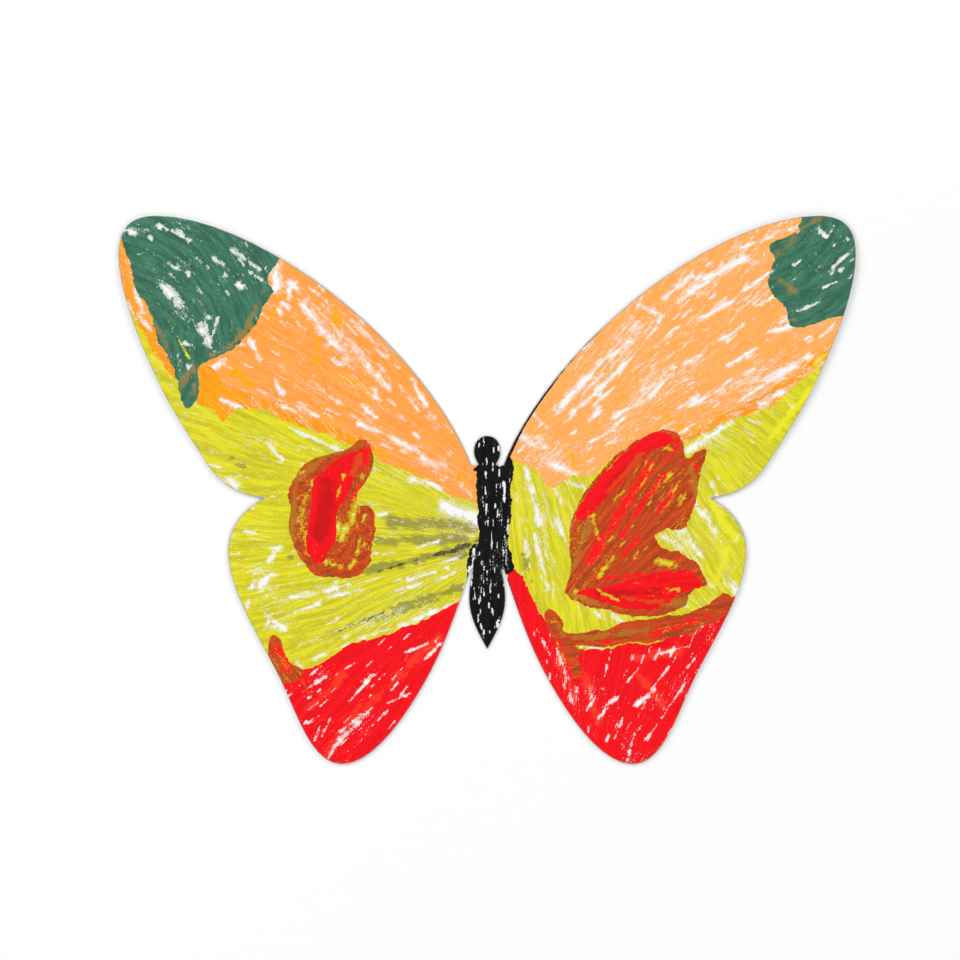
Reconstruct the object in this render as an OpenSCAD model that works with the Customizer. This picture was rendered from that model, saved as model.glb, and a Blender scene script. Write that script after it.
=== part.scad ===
// A butterfly cut out of drawing card and coloured in with wax crayons.
// It lies flat with its coloured side up. X runs across the wings, Y runs along the
// body towards the head, and Z is up. The middle of its back face is the origin.
// Both wings fold up along creases beside the body.

/* [Overall size] */
// Span from wing tip to wing tip
span = 184; // [120:1:260]
// Height from the top of the fore wings to the bottom of the hind wings
height = 137; // [90:1:200]

/* [Card and wax] */
// Thickness of the card
card_t = 0.4; // [0.25:0.05:0.8]
// Thickness of one layer of crayon wax
wax_t = 0.08; // [0.04:0.01:0.16]

/* [Body] */
// Distance between the two creases, which are the body's sides
body_w = 7.6; // [6:0.1:12]
// Width of the head
head_w = 6.8; // [5:0.1:8.4]
// Length of the head, in front of the creases
head_l = 8; // [5:0.1:12]
// Width of the neck
neck_w = 4.5; // [3:0.1:5]
// Greatest width of the abdomen
abdomen_w = 9.2; // [7:0.1:10]
// Length of the abdomen, behind the creases
abdomen_l = 20; // [12:0.5:30]

/* [Folds] */
// Clearance between a crease and the root of its wing
fold_gap = 0.03; // [0.02:0.01:0.08]

/* [Body colouring] */
// How far left of the middle the black reaches on the thorax
black_left = 2.6; // [1:0.1:2.9]
// How far the black runs over the right crease onto the wing
black_over_right = 2.6; // [1:0.1:5]
// How far the black runs over the left crease behind the thorax
black_over_left = 1.4; // [0.8:0.1:3]

/* [Outline on the right wing] */
// Width of the black line at the root of the right wing
line_w = 0.8; // [0.6:0.1:2]

/* [Hidden] */
$fn = 48;

left = -1;
right = 1;

card_colour = "whitesmoke";
black_wax = "#111114";
green_wax = "#37785a";
orange_wax = "#ffa055";
amber_wax = "#f09a12";
yellow_wax = "#cfd024";
red_wax = "#ee1420";
rust_wax = "#b84a14";

// The wings are drawn this far out from the crease and this high, then stretched
drawn_reach = 88.2;
drawn_height = 137;
stretch_u = (span - body_w) / 2 / drawn_reach;
stretch_v = height / drawn_height;

// The two ends of the creases, where the wings are joined to the body
root_front = 5.6 * stretch_v;
root_rear = -19.9 * stretch_v;

// The card bends round a bead of its own thickness, on the fold's axis
bead_r = card_t / 2;
body_side = body_w / 2 - bead_r;
wing_root = bead_r + fold_gap;
wax_layers = 2;
// A folded wing's wax stays clear of the wax on the body
wax_root = bead_r + wax_layers * wax_t + fold_gap;

// ---------------------------------------------------------------- curves

// A point on the cubic curve from a to d, which b and c pull
function bez(a, b, c, d, t) =
    pow(1 - t, 3) * a + 3 * pow(1 - t, 2) * t * b + 3 * (1 - t) * t * t * c + t * t * t * d;

// A line of cubic curves: where it starts, then two pulls and an end for each curve
function chain(start, curves, steps = 10) = concat(
    [for (i = [0 : len(curves) - 1])
        let (a = i == 0 ? start : curves[i - 1][2], k = curves[i])
        for (j = [0 : steps - 1]) bez(a, k[0], k[1], k[2], j / steps)],
    [curves[len(curves) - 1][2]]);

// A smooth closed line through its points
function loop(p, steps = 4) =
    [for (i = [0 : len(p) - 1])
        let (m = len(p), a = p[(i + m - 1) % m], b = p[i], c = p[(i + 1) % m], d = p[(i + 2) % m])
        for (j = [0 : steps - 1]) bez(b, b + (c - a) / 6, c - (d - b) / 6, c, j / steps)];

// Points drawn on a wing are [out from the crease, along the body]
function on_wing(side, points) =
    [for (p = points) [side * (body_w / 2 + p[0] * stretch_u), p[1] * stretch_v]];

function mirrored(points) = [for (i = [len(points) - 1 : -1 : 0]) [-points[i][0], points[i][1]]];

// ---------------------------------------------------------------- outlines

// The edge of a wing, from the neck round the fore wing and the hind wing to the abdomen
wing_edge = chain([0, 5.6], [
    [[3.4, 15.5], [14.2, 32], [31.4, 46.2]],
    [[44.7, 57.5], [64.2, 68.5], [78.7, 68.5]],
    [[85.6, 68.5], [88.2, 65.2], [88.2, 58.5]],
    [[88.2, 49], [82.2, 34.5], [76.6, 23.5]],
    [[73.7, 18], [69.7, 12], [65.8, 6]],
    [[62.7, 1.2], [57.7, -1.6], [51.5, -1.9]],
    [[57.2, -4.5], [60.9, -9.5], [60.9, -15.5]],
    [[60.9, -25], [52.7, -37.5], [48, -47]],
    [[43.7, -56], [40.2, -68.5], [32.5, -68.5]],
    [[24.2, -68.5], [15.7, -55.5], [10.2, -45.2]],
    [[6, -37], [3.4, -29], [0.3, -19.9]]
]);

// The right side of the head, from its top to the front end of the crease
head_side = chain([0, root_front + head_l], [
    [[0.31 * head_w, root_front + head_l],
     [head_w / 2, root_front + 0.78 * head_l],
     [head_w / 2, root_front + 0.5 * head_l]],
    [[head_w / 2, root_front + 0.32 * head_l],
     [0.6 * neck_w, root_front + 0.2 * head_l],
     [neck_w / 2, root_front + 0.1 * head_l]],
    [[0.6 * neck_w, root_front + 0.07 * head_l],
     [0.9 * body_side, root_front + 0.04 * head_l],
     [body_side, root_front]]
], steps = 8);

// The right side of the abdomen, from the rear end of the crease to its tip
abdomen_side = chain([body_side, root_rear], [
    [[body_side + 0.45 * (abdomen_w / 2 - body_side), root_rear - 0.1 * abdomen_l],
     [abdomen_w / 2, root_rear - 0.22 * abdomen_l],
     [abdomen_w / 2, root_rear - 0.36 * abdomen_l]],
    [[abdomen_w / 2, root_rear - 0.6 * abdomen_l],
     [0.24 * abdomen_w, root_rear - 0.8 * abdomen_l],
     [0, root_rear - abdomen_l]]
], steps = 8);

body_edge = concat(head_side, abdomen_side, mirrored(abdomen_side), mirrored(head_side));

// ---------------------------------------------------------------- coloured areas, left wing

left_green = loop([
    [48, 62], [49, 56.5], [51.5, 52.5], [50.5, 49.5], [51.5, 46.5], [55, 40.5], [59.5, 36],
    [65, 32.5], [68.5, 30], [68.5, 26], [69, 22.5], [71, 21], [73, 23.5], [74, 28],
    [75, 32], [78, 37], [80, 42], [82, 47.5], [84.5, 53], [86, 58], [87.5, 63], [88, 72], [60, 74]
]);

left_orange = loop([
    [-4, -4], [4, -1.5], [10, 2.5], [16.5, 4.5], [23, 7.5], [26, 10.5], [35.5, 14.5],
    [42, 17.5], [55, 22], [62.5, 24], [67, 27.5], [72, 34], [60, 70], [30, 66], [2, 34], [-4, 14]
]);

left_amber = loop([
    [91, 66], [86, 62], [84, 56], [80, 46], [76, 37], [71, 33], [64, 29.5], [61, 25.5],
    [55, 23.5], [42, 18.8], [29.5, 14], [25, 12], [24.5, 9.8], [29.5, 11], [42, 15.8],
    [55, 20.2], [60, 18.7], [62, 17], [64.5, 19.5], [67, 20.5], [70, 22.5], [74, 27],
    [78.5, 33], [82, 39], [86, 45.5], [91, 54]
]);

left_red = loop([
    [56, -44.8], [49.8, -44.6], [47, -43.6], [43.5, -44.5], [40, -44], [34.5, -41], [29, -38],
    [23.5, -36.5], [12, -32.5], [7.5, -30], [3, -27.5], [-3, -25], [-10, -60], [30, -78], [56, -60]
]);

left_spot = loop([
    [27, 12], [24.5, 6.5], [26, 2.5], [29, -1], [29, -4], [26.5, -4.5], [24.5, -7], [25, -13],
    [26.5, -19], [29.5, -22], [35, -21.5], [39, -21], [42.5, -17], [45, -11], [45.5, -4.5],
    [45, 0.5], [42, 5.5], [37, 9], [32, 10.5]
]);

left_spot_middle = loop([
    [32, 9.5], [27, 10], [27, 7.5], [32, -2], [34.5, -7.5], [34.5, -12], [37, -16.5],
    [39.5, -18], [41, -11.5], [40.5, -4.5], [39, 2.5], [35, 6.5]
]);

left_corner = loop([
    [50, -36.8], [48, -37.2], [46.8, -40], [45.5, -43], [43.3, -44.5], [43, -46.3], [46, -48],
    [49.5, -46], [50.5, -42]
]);

left_root = loop([
    [-2, -13], [0.6, -14], [black_over_left, -16], [black_over_left, -21], [0.6, -24], [-2, -24]
]);

// ---------------------------------------------------------------- coloured areas, right wing

right_green = loop([
    [76.5, 72], [74, 65.5], [67.5, 61.5], [68, 57.5], [67, 55], [67, 50], [70.5, 45.5],
    [72, 41.5], [74, 40.5], [77.5, 41.5], [84.5, 43.5], [94, 46], [96, 62], [88, 74]
]);

right_orange = loop([
    [90, 37], [82, 36], [79, 33], [76, 30], [70.5, 26.5], [68.5, 22.5], [58, 19], [51.5, 16],
    [45.5, 13], [39, 13.5], [30, 9.5], [23, 4], [20, 3.5], [12, 1], [9.5, 4], [6, 5.5],
    [2.5, 7.5], [-4, 9], [2, 34], [30, 66], [80, 76], [96, 56]
]);

right_amber = loop([
    [90, 38], [84, 38.5], [80, 34.5], [74.5, 30.5], [69, 26.5], [66.5, 23.5], [58, 20.5],
    [51.5, 17.5], [46, 15], [45, 12], [51.5, 14.5], [58, 17.5], [67, 20], [72, 25.5],
    [78, 30], [84, 33]
]);

right_red = loop([
    [-4, -15], [2.5, -19.5], [6.5, -23.5], [8.5, -28.5], [11.5, -34], [14, -38], [18, -40],
    [31, -38.5], [38, -38], [47.5, -34], [52, -32.5], [55, -28], [62, -28], [58, -60],
    [34, -78], [0, -60]
]);

right_spot = loop([
    [39, 14.5], [31, 10.5], [25.5, 5], [20, -2], [17.5, -7.5], [16.5, -14], [17, -20],
    [16, -25.5], [20, -28.5], [25.5, -30], [31, -31], [39.5, -31], [45, -28.5], [48, -24.5],
    [50.5, -23], [48, -18.5], [44, -15.5], [40, -14.5], [38, -11.5], [41, -10], [45, -9.5],
    [47.5, -4], [49, 2.5], [50.5, 9.5], [46, 8], [45, 12], [42, 14.5]
]);

right_spot_upper = loop([
    [38.5, 14], [30, 9], [22, -0.5], [18.5, -6], [20.5, -7], [24.8, -2.8], [31, 3.5], [36.5, 9.5], [42, 12.5]
]);

right_spot_lower = loop([
    [19, -26], [23, -27.5], [31, -29.5], [40, -29], [45, -26], [49, -23.5], [46, -20.5],
    [40, -20.5], [33, -22.5], [26, -24.5]
]);

// A stroke drawn over the top of the red, and one that comes down inside its edge
right_band = loop([
    [16.5, -36], [30, -33.5], [42, -31.5], [50, -29.5], [53, -28], [56, -26.5], [57.5, -28.5],
    [54, -32], [48, -34.5], [38, -37.5], [28, -38.5], [21, -39], [18.5, -42], [19.5, -46],
    [17, -46.5], [14, -40], [11, -33], [12, -30.5], [14.5, -32.5]
]);

right_root = loop([
    [-2, 8], [black_over_right, 7], [black_over_right - 0.4, -1], [black_over_right - 1.2, -12],
    [black_over_right, -15], [black_over_right, -19.5], [1, -21], [-2, -21]
]);

// How far out from the crease the black line runs before it fades away, along the front
// edge of the wing and along its rear edge, where it is also thinner
line_reach = 35;
line_rear_reach = 17;
line_rear_w = 0.5 * line_w;
// The line grows this way from the front edge, into the wing
line_inward = [0.87, -0.5];

// ---------------------------------------------------------------- flat shapes

module wing_2d(side) {
    polygon(on_wing(side, wing_edge));
}

module body_2d() {
    polygon(body_edge);
}

module area_2d(side, points) {
    polygon(on_wing(side, points));
}

// Everything on one side that is further out than a distance from the crease
module beyond_2d(side, distance) {
    inner = body_w / 2 + distance;
    translate([side > 0 ? inner : -inner - span, -height]) square([span, 2 * height]);
}

module wing_panel_2d(side) {
    intersection() {
        wing_2d(side);
        beyond_2d(side, wing_root);
    }
}

// The part of a wing that the crayon covers
module wing_paper_2d(side) {
    intersection() {
        wing_2d(side);
        beyond_2d(side, wax_root);
    }
}

module left_area_2d(points) {
    intersection() {
        wing_paper_2d(left);
        area_2d(left, points);
    }
}

module right_area_2d(points) {
    intersection() {
        wing_paper_2d(right);
        area_2d(right, points);
    }
}

// The black covers all of the body but a strip along the left of the thorax, which the
// colours of the left wing run onto: orange first, and then yellow
strip_front_gap = 1;
strip_rear_gap = 6;
strip_orange_l = 8;
black_front = root_front - strip_front_gap;
black_rear = root_rear + strip_rear_gap;
orange_rear = black_front - strip_orange_l;

module left_strip_2d(front, rear) {
    translate([-body_w, rear]) square([body_w - black_left, front - rear]);
}

// A line that follows the front and the rear edge of the right wing, and thins out along it
module line_2d() {
    front = on_wing(right, [for (p = wing_edge) if (p[0] <= line_reach && p[1] > 0) p]);
    rear = on_wing(right, [for (p = wing_edge) if (p[0] <= line_rear_reach && p[1] < 0) p]);
    front_end = len(front) - 1;
    rear_end = len(rear) - 1;
    polygon(concat(front, [for (i = [front_end : -1 : 0])
        front[i] + line_w * (1 - i / front_end) * line_inward]));
    polygon(concat(rear, [for (i = [rear_end : -1 : 0])
        rear[i] + line_rear_w * (i / rear_end) * [line_inward[0], -line_inward[1]]]));
}

// ---------------------------------------------------------------- solids

module card() {
    color(card_colour) linear_extrude(card_t) children();
}

// Wax of one colour, on the card or on the wax below it
module wax(colour, layer = 1) {
    color(colour) translate([0, 0, card_t + (layer - 1) * wax_t])
        linear_extrude(wax_t) children();
}

module crease(side) {
    color(card_colour) union() {
        translate([side * body_w / 2, root_rear, card_t / 2])
            rotate([-90, 0, 0]) cylinder(r = bead_r, h = root_front - root_rear);
        translate([side > 0 ? body_side : -body_w / 2, root_rear, 0])
            cube([bead_r, root_front - root_rear, card_t]);
    }
}

module body_card() {
    card() body_2d();
}

module left_wing_card() {
    card() wing_panel_2d(left);
}

module right_wing_card() {
    card() wing_panel_2d(right);
}

module left_crease() {
    crease(left);
}

module right_crease() {
    crease(right);
}

module body_black() {
    wax(black_wax) difference() {
        body_2d();
        left_strip_2d(black_front, black_rear);
    }
}

module body_orange() {
    wax(orange_wax) intersection() {
        body_2d();
        left_strip_2d(black_front, orange_rear);
    }
}

module body_yellow() {
    wax(yellow_wax) intersection() {
        body_2d();
        left_strip_2d(orange_rear, black_rear);
    }
}

module left_root_black() {
    wax(black_wax) left_area_2d(left_root);
}

module right_root_black() {
    wax(black_wax) right_area_2d(right_root);
}

module left_tip_green() {
    wax(green_wax) left_area_2d(left_green);
}

module left_fore_amber() {
    wax(amber_wax) difference() {
        left_area_2d(left_amber);
        area_2d(left, left_green);
    }
}

module left_fore_orange() {
    wax(orange_wax) difference() {
        left_area_2d(left_orange);
        area_2d(left, left_green);
        area_2d(left, left_amber);
    }
}

module left_mid_yellow() {
    wax(yellow_wax) difference() {
        wing_paper_2d(left);
        area_2d(left, left_green);
        area_2d(left, left_amber);
        area_2d(left, left_orange);
        area_2d(left, left_red);
        area_2d(left, left_root);
    }
}

module left_hind_red() {
    wax(red_wax) left_area_2d(left_red);
}

module left_spot_red() {
    wax(red_wax, layer = 2) left_area_2d(left_spot_middle);
}

module left_spot_rust() {
    wax(rust_wax, layer = 2) difference() {
        left_area_2d(left_spot);
        area_2d(left, left_spot_middle);
    }
}

module left_hind_rust() {
    wax(rust_wax, layer = 2) left_area_2d(left_corner);
}

module right_tip_green() {
    wax(green_wax) right_area_2d(right_green);
}

module right_fore_amber() {
    wax(amber_wax) difference() {
        right_area_2d(right_amber);
        area_2d(right, right_green);
    }
}

module right_fore_orange() {
    wax(orange_wax) difference() {
        right_area_2d(right_orange);
        area_2d(right, right_green);
        area_2d(right, right_amber);
        area_2d(right, right_root);
    }
}

module right_mid_yellow() {
    wax(yellow_wax) difference() {
        wing_paper_2d(right);
        area_2d(right, right_green);
        area_2d(right, right_amber);
        area_2d(right, right_orange);
        area_2d(right, right_red);
        area_2d(right, right_root);
    }
}

module right_hind_red() {
    wax(red_wax) difference() {
        right_area_2d(right_red);
        area_2d(right, right_root);
    }
}

module right_spot_red() {
    wax(red_wax, layer = 2) intersection() {
        right_area_2d(right_spot);
        union() {
            area_2d(right, right_spot_upper);
            area_2d(right, right_spot_lower);
        }
    }
}

module right_spot_rust() {
    wax(rust_wax, layer = 2) difference() {
        right_area_2d(right_spot);
        area_2d(right, right_spot_upper);
        area_2d(right, right_spot_lower);
    }
}

module right_hind_rust() {
    wax(rust_wax, layer = 2) right_area_2d(right_band);
}

module right_edge_black() {
    wax(black_wax, layer = 2) intersection() {
        wing_paper_2d(right);
        line_2d();
    }
}

// ---------------------------------------------------------------- nodes

body_card();
left_wing_card();
right_wing_card();
left_crease();
right_crease();
body_black();
body_orange();
body_yellow();
left_root_black();
right_root_black();
left_tip_green();
left_fore_orange();
left_fore_amber();
left_mid_yellow();
left_spot_red();
left_spot_rust();
left_hind_red();
left_hind_rust();
right_tip_green();
right_fore_orange();
right_fore_amber();
right_mid_yellow();
right_spot_red();
right_spot_rust();
right_hind_red();
right_hind_rust();
right_edge_black();
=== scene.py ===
# %% [markdown]
# # A paper butterfly, coloured in with wax crayons
#
# The real thing is one piece of white drawing card, cut out with scissors, and a layer of
# crayon wax rubbed onto its front. Both are thin, and both are rougher than they look:
# the card waves a little, and the wax is thick where the hand pressed and missing where
# the crayon skipped. So neither is a picture on a plane here. The card is a sheet with two
# faces and a cut edge, and each coloured area is its own thin film with real holes in it.

# %% Load the frame
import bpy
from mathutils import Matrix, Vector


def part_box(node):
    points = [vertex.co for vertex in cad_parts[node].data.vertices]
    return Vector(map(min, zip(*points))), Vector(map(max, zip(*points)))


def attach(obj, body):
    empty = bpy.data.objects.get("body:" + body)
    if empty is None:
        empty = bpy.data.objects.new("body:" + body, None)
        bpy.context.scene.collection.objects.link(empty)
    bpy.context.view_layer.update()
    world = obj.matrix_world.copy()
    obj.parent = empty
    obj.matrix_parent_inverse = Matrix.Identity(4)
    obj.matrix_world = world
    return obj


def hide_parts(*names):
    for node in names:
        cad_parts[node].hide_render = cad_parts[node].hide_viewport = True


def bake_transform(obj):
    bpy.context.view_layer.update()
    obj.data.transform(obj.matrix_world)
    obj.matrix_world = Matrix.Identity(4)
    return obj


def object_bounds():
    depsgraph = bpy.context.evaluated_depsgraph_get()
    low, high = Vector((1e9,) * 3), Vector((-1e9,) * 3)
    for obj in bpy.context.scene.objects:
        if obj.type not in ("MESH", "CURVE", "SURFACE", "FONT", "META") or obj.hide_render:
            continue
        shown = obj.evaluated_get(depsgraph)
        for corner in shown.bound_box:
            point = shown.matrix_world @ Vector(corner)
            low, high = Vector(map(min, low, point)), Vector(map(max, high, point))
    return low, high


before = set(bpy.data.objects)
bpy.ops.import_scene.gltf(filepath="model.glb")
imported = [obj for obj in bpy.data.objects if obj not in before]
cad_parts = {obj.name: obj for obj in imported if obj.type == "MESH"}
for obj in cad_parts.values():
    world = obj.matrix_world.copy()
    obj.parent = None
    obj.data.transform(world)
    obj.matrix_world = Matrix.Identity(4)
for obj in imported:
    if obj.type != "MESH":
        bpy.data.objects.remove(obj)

from types import SimpleNamespace

import bpy
import numpy as np

cad_low, cad_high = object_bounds()
MM = 0.001
print("frame is", [round(side / MM, 1) for side in cad_high - cad_low], "mm")

# %% [markdown]
# ## Sizes taken from the frame
#
# The creases, the thickness of the card and the edge of the body all come from the packed
# nodes, so that the films and the card always meet where the frame says they do.

# %% Read the main sizes
CARD_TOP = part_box("body_card")[1].z / MM
crease_low, crease_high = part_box("right_crease")
BODY_SIDE = crease_low.x / MM
CREASE_OUT = BODY_SIDE + CARD_TOP / 2
FOLD_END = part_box("right_fore_orange")[0].x / MM
CREASE_FRONT = crease_high.y / MM
CREASE_REAR = crease_low.y / MM
WING_REACH = cad_high.x / MM
WING_FRONT = cad_high.y / MM
WING_REAR = cad_low.y / MM
print("card", round(CARD_TOP, 2), "mm thick, folds at", round(CREASE_OUT, 2), "mm")

# %% [markdown]
# ## Soft random values
#
# Handwork is uneven in patches, in streaks and in specks. One kind of noise makes all of
# them: random values on a lattice, eased from one to the next. Stretching the lattice
# along the strokes gives streaks, and adding finer lattices gives ragged edges. Each use
# has its own seed, so the butterfly comes out the same every time.

# %% Noise and easing
NOISE_CELLS = 128
PATCH_SUM = 1.4


def ease(low, high, value):
    """0 below low, 1 above high, and a smooth rise between them."""
    t = np.clip((value - low) / (high - low), 0, 1)
    return t * t * (3 - 2 * t)


def noise(a, b, seed):
    """Values from -1 to 1 that change over about one unit of a and b. Odd seeds slant the lattice."""
    table = np.random.default_rng(seed).uniform(-1, 1, (NOISE_CELLS, NOISE_CELLS))
    a = a * 0.8 - b * 0.6 if seed % 2 else a
    low_a = np.floor(a).astype(int)
    low_b = np.floor(b).astype(int)
    ta = ease(0, 1, a - low_a)
    tb = ease(0, 1, b - low_b)
    row, next_row = low_a % NOISE_CELLS, (low_a + 1) % NOISE_CELLS
    column, next_column = low_b % NOISE_CELLS, (low_b + 1) % NOISE_CELLS
    near = table[row, column] * (1 - ta) + table[next_row, column] * ta
    far = table[row, next_column] * (1 - ta) + table[next_row, next_column] * ta
    return near * (1 - tb) + far * tb


def patches(a, b, size, seed, layers=3):
    """Uneven patches about size across, with finer ones on them."""
    total = sum(noise(a / size * 2 ** k, b / size * 2 ** k, seed + k) * 0.5 ** k for k in range(layers))
    return total / PATCH_SUM


print("noise runs from", round(float(noise(np.arange(99.0), np.arange(99.0), 3).min()), 2))

# %% [markdown]
# ## Outlines from the frame
#
# The frame holds every coloured area as a flat solid with the right outline. The edge of
# its upper face is found by counting: an edge that only one upward face uses is on the
# outline. From those edges comes the depth of any point inside the area, which is
# positive inside and negative outside. A border that follows a depth can be made ragged,
# and cut back, without ever losing its shape.

# %% Read an outline and measure depth inside it
def outline(node):
    """The edges round a flat node's upper face, as rows of x, y, x, y in mm."""
    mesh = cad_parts[node].data
    counts = {}
    for face in mesh.polygons:
        if face.normal.z < 0.9:
            continue
        corners = [mesh.vertices[i].co for i in face.vertices]
        flat = [(round(c.x / MM, 4), round(c.y / MM, 4)) for c in corners]
        for start, end in zip(flat, flat[1:] + flat[:1]):
            key = (start, end) if start < end else (end, start)
            counts[key] = counts.get(key, 0) + 1
    return [start + end for (start, end), uses in counts.items() if uses == 1 and start != end]


STRAIGHT = 0.1


def without_crease(edges):
    """The same edges, less the nearly straight ones that the frame cuts along a crease."""
    kept = []
    for ax, ay, bx, by in edges:
        on_crease = max(abs(ax), abs(bx)) < FOLD_END + 0.01 and abs(ax - bx) < STRAIGHT
        if not (on_crease and CREASE_REAR - 1 < (ay + by) / 2 < CREASE_FRONT + 1):
            kept.append((ax, ay, bx, by))
    return kept


def depth_inside(x, y, edges, outward):
    """How deep each point lies inside the outline. outward is the side of the last edge."""
    nearest = np.full(x.shape, 1e9)
    inside = np.zeros(x.shape, bool)
    for ax, ay, bx, by in edges:
        dx, dy = bx - ax, by - ay
        along = np.clip(((x - ax) * dx + (y - ay) * dy) / (dx * dx + dy * dy), 0, 1)
        nearest = np.minimum(nearest, (x - ax - along * dx) ** 2 + (y - ay - along * dy) ** 2)
        if dy:
            meets = ax + (y - ay) / dy * dx
            inside ^= ((ay > y) != (by > y)) & ((meets - x) * outward > 0)
    return np.where(inside, 1, -1) * np.sqrt(nearest)


def area_depth(x, y, side, node):
    """Depth inside a node. A wing's areas stay open towards the body, and the body's are closed."""
    edges = outline(node)
    return depth_inside(x, y, without_crease(edges) if side else edges, side or 1)


print("the left wing's outline has", len(outline("left_wing_card")), "edges")

# %% [markdown]
# ## A thin closed sheet
#
# Card and wax are both made by one tool. It takes a grid of points, a value that is
# positive where there is material, and two heights. Grid squares are halved into
# triangles, the triangles on the border are cut where the value passes zero, and the
# two faces are joined by a wall all round. The result is a closed solid, however many
# holes the value leaves, and its border runs smoothly between the grid points.

# %% Cut the grid along a border
NEAREST_CUT = 0.06


def cut_grid(value):
    """The points and triangles where value is positive. A point is i, j, t: between two grid points."""
    rows, columns = value.shape
    number = np.arange(rows * columns).reshape(rows, columns)
    a, b, c, d = number[:-1, :-1], number[:-1, 1:], number[1:, 1:], number[1:, :-1]
    halves = np.concatenate([np.stack([a, b, c], -1), np.stack([a, c, d], -1)]).reshape(-1, 3)
    flat = value.ravel()
    sides = flat[halves] > 0
    whole = halves[sides.all(1)]
    corners, made = [np.stack([whole, whole], -1)], []
    for odd_inside in (True, False):
        found = (sides.sum(1) == (1 if odd_inside else 2))
        part, flags = halves[found], sides[found]
        odd = np.argmax(flags if odd_inside else ~flags, 1)
        row = np.arange(len(part))
        p, q, r = (part[row, (odd + k) % 3] for k in range(3))
        pp, qq, rr = (np.stack([k, k], -1) for k in (p, q, r))
        pq = np.stack([np.minimum(p, q), np.maximum(p, q)], -1)
        pr = np.stack([np.minimum(p, r), np.maximum(p, r)], -1)
        if odd_inside:
            made.append(np.stack([pp, pq, pr], 1))
        else:
            made.append(np.stack([pq, qq, rr], 1))
            made.append(np.stack([pq, rr, pr], 1))
    corners = np.concatenate(corners + made).reshape(-1, 2)
    pairs, index = np.unique(corners, axis=0, return_inverse=True)
    i, j = pairs[:, 0], pairs[:, 1]
    gap = np.where(i == j, 1.0, flat[i] - flat[j])
    t = np.where(i == j, 0.0, np.clip(flat[i] / np.where(gap == 0, 1, gap), NEAREST_CUT, 1 - NEAREST_CUT))
    return (i, j, t), index.reshape(-1, 3)


def at_points(points, grid):
    """A grid's values at the points that cut_grid made."""
    i, j, t = points
    flat = np.asarray(grid).ravel()
    return flat[i] * (1 - t) + flat[j] * t


# %% Build the sheet
SHARP_ANGLE = 0.9
HIDDEN_SHARE = 0.05
HIDDEN_SIZE = 0.04


def build_sheet(name, leaf, value, bottom, top, fields):
    """A closed solid between two heights in mm, wherever value is positive."""
    points, faces = cut_grid(value)
    x, y = at_points(points, leaf.x), at_points(points, leaf.y)
    count = len(x)
    upper = np.stack([x, y, at_points(points, top)], -1)
    lower = np.stack([x, y, at_points(points, bottom)], -1)
    edges = np.concatenate([faces[:, [0, 1]], faces[:, [1, 2]], faces[:, [2, 0]]])
    _, first, uses = np.unique(np.sort(edges, 1), axis=0, return_index=True, return_counts=True)
    a, b = edges[first[uses == 1]].T
    walls = np.concatenate([np.stack([b, a, a + count], -1), np.stack([b, a + count, b + count], -1)])
    every = np.concatenate([faces, faces[:, ::-1] + count, walls]).astype(np.int32)
    mesh = bpy.data.meshes.new(name)
    mesh.vertices.add(2 * count)
    mesh.vertices.foreach_set("co", (np.concatenate([upper, lower]) * MM).astype(np.float32).ravel())
    mesh.loops.add(every.size)
    mesh.loops.foreach_set("vertex_index", every.ravel())
    mesh.polygons.add(len(every))
    mesh.polygons.foreach_set("loop_start", np.arange(0, every.size, 3, dtype=np.int32))
    mesh.polygons.foreach_set("use_smooth", np.ones(len(every), bool))
    mesh.update(calc_edges=True)
    for field, grid in fields.items():
        if isinstance(grid, tuple):
            rows = np.stack([at_points(points, part) for part in grid], -1)
            store = mesh.attributes.new(field, "FLOAT_VECTOR", "POINT")
            store.data.foreach_set("vector", np.concatenate([rows, rows]).astype(np.float32).ravel())
        else:
            column = at_points(points, grid)
            store = mesh.attributes.new(field, "FLOAT", "POINT")
            store.data.foreach_set("value", np.concatenate([column, column]).astype(np.float32))
    map_flat(mesh, every, x, y, len(faces))
    mesh.set_sharp_from_angle(angle=SHARP_ANGLE)
    piece = bpy.data.objects.new(name, mesh)
    bpy.context.scene.collection.objects.link(piece)
    return piece


def map_flat(mesh, every, x, y, upper_faces):
    """A map straight down from above. The hidden lower face gets a small corner of it."""
    size = max(np.ptp(x), np.ptp(y))
    across, up = (x - x.min()) / size, (y - y.min()) / size
    place = np.stack([np.concatenate([across, across]), np.concatenate([up, up])], -1)
    spread = place[every] * (1 - HIDDEN_SHARE) + [0.0, HIDDEN_SHARE]
    hidden = slice(upper_faces, 2 * upper_faces)
    spread[hidden] = place[every[hidden]] * HIDDEN_SIZE
    layer = mesh.uv_layers.new(name="OFBake")
    layer.data.foreach_set("uv", spread.astype(np.float32).ravel())


print("sheets are cut from a grid and closed all round")

# %% [markdown]
# ## The grids
#
# Each wing has a grid for its wax and a coarser one for its card. Both are much finer
# beside the crease, where the real card folds; the sheets made on them never bend. The grid
# also holds what everything on the wing shares: the depth inside the cut edge, the
# wandering of the hand, and the lift of the card, which never lies quite flat once it has
# been rubbed with crayons. The borders wander together, so neighbouring colours still meet.

# %% Lay out a grid for each wing and for the body
LEFT, RIGHT = -1, 1
WAX_STEP = 0.4
CARD_STEP = 0.6
FINE_STEP = 0.11
FINE_INSIDE = 2.2
FINE_OUTSIDE = 0.7
MARGIN = 1.5
WANDER = 0.9
SHAKE = 0.2


def card_lift(out, y):
    """How far the card stands off the table, in mm."""
    wave = 0.22 + 0.16 * noise(out / 31 + 5, y / 27, 12) + 0.5 * (out / WING_REACH) ** 2
    return ease(5, 30, out) * wave


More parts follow.
